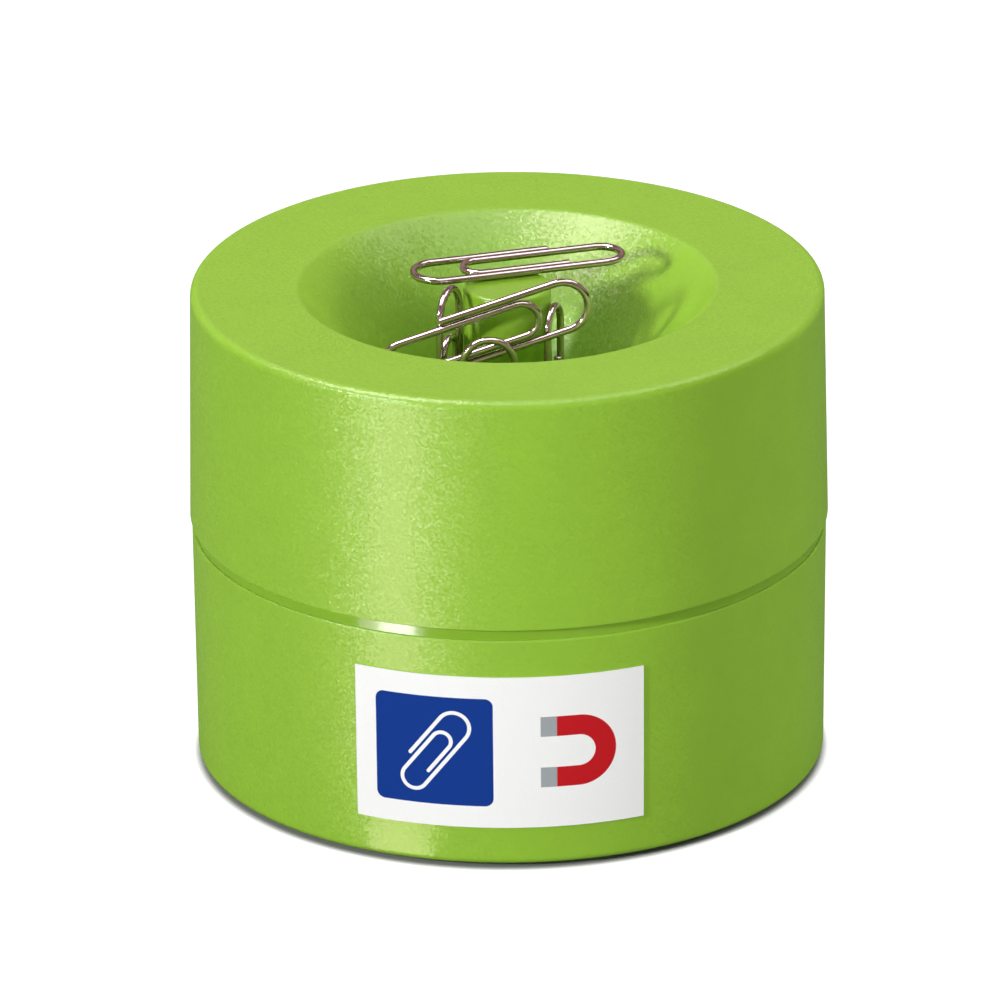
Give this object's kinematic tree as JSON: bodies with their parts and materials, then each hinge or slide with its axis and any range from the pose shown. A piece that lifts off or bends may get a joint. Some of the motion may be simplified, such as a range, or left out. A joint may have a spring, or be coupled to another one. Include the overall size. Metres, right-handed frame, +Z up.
{
  "type": "magnetic paper clip holder",
  "caption": "Round desk holder with a funnel bowl whose magnetic centre post keeps wire paper clips upright, on a cup base with an anti-slip pad.",
  "frame": {"origin": "centre of the standing face, on the drum's axis", "axes": "+Z up along the drum's axis, the label faces -Y, +X to the right of someone looking at the label"},
  "size_m": [0.075, 0.075, 0.0616],
  "materials": {
    "green_plastic": "fine spark-eroded texture, polished in the seam groove",
    "magnet": "sintered",
    "plug": "as moulded",
    "pad": "matt",
    "label": "semi-gloss paper",
    "clip_wire": "bright zinc-plated wire"
  },
  "bodies": {
    "base": {"base_cup": "green_plastic", "anti_slip_pad": "pad", "label": "label"},
    "upper": {"upper_housing": "green_plastic", "bar_magnet": "magnet", "magnet_plug": "plug"},
    "top_clip": {"clip_top": "clip_wire"},
    "cross_clip": {"clip_cross": "clip_wire"},
    "left_clip": {"clip_left": "clip_wire"},
    "right_clip": {"clip_right": "clip_wire"},
    "front_clip": {"clip_front": "clip_wire"}
  },
  "joints": [
    {"name": "lid_lift", "type": "slide", "parent": "base", "child": "upper", "axis": [0, 0, 1], "range_m": [0, 0.04]},
    {"name": "top_clip_lift", "type": "slide", "parent": "upper", "child": "top_clip", "axis": [0, 0, 1], "range_m": [0, 0.015]},
    {"name": "cross_clip_lift", "type": "slide", "parent": "upper", "child": "cross_clip", "axis": [0, 0, 1], "range_m": [0, 0.02]},
    {"name": "left_clip_lift", "type": "slide", "parent": "upper", "child": "left_clip", "axis": [0, 0, 1], "range_m": [0, 0.035]},
    {"name": "right_clip_lift", "type": "slide", "parent": "upper", "child": "right_clip", "axis": [0, 0, 1], "range_m": [0, 0.035]},
    {"name": "front_clip_lift", "type": "slide", "parent": "upper", "child": "front_clip", "axis": [0, 0, 1], "range_m": [0, 0.035]}
  ]
}
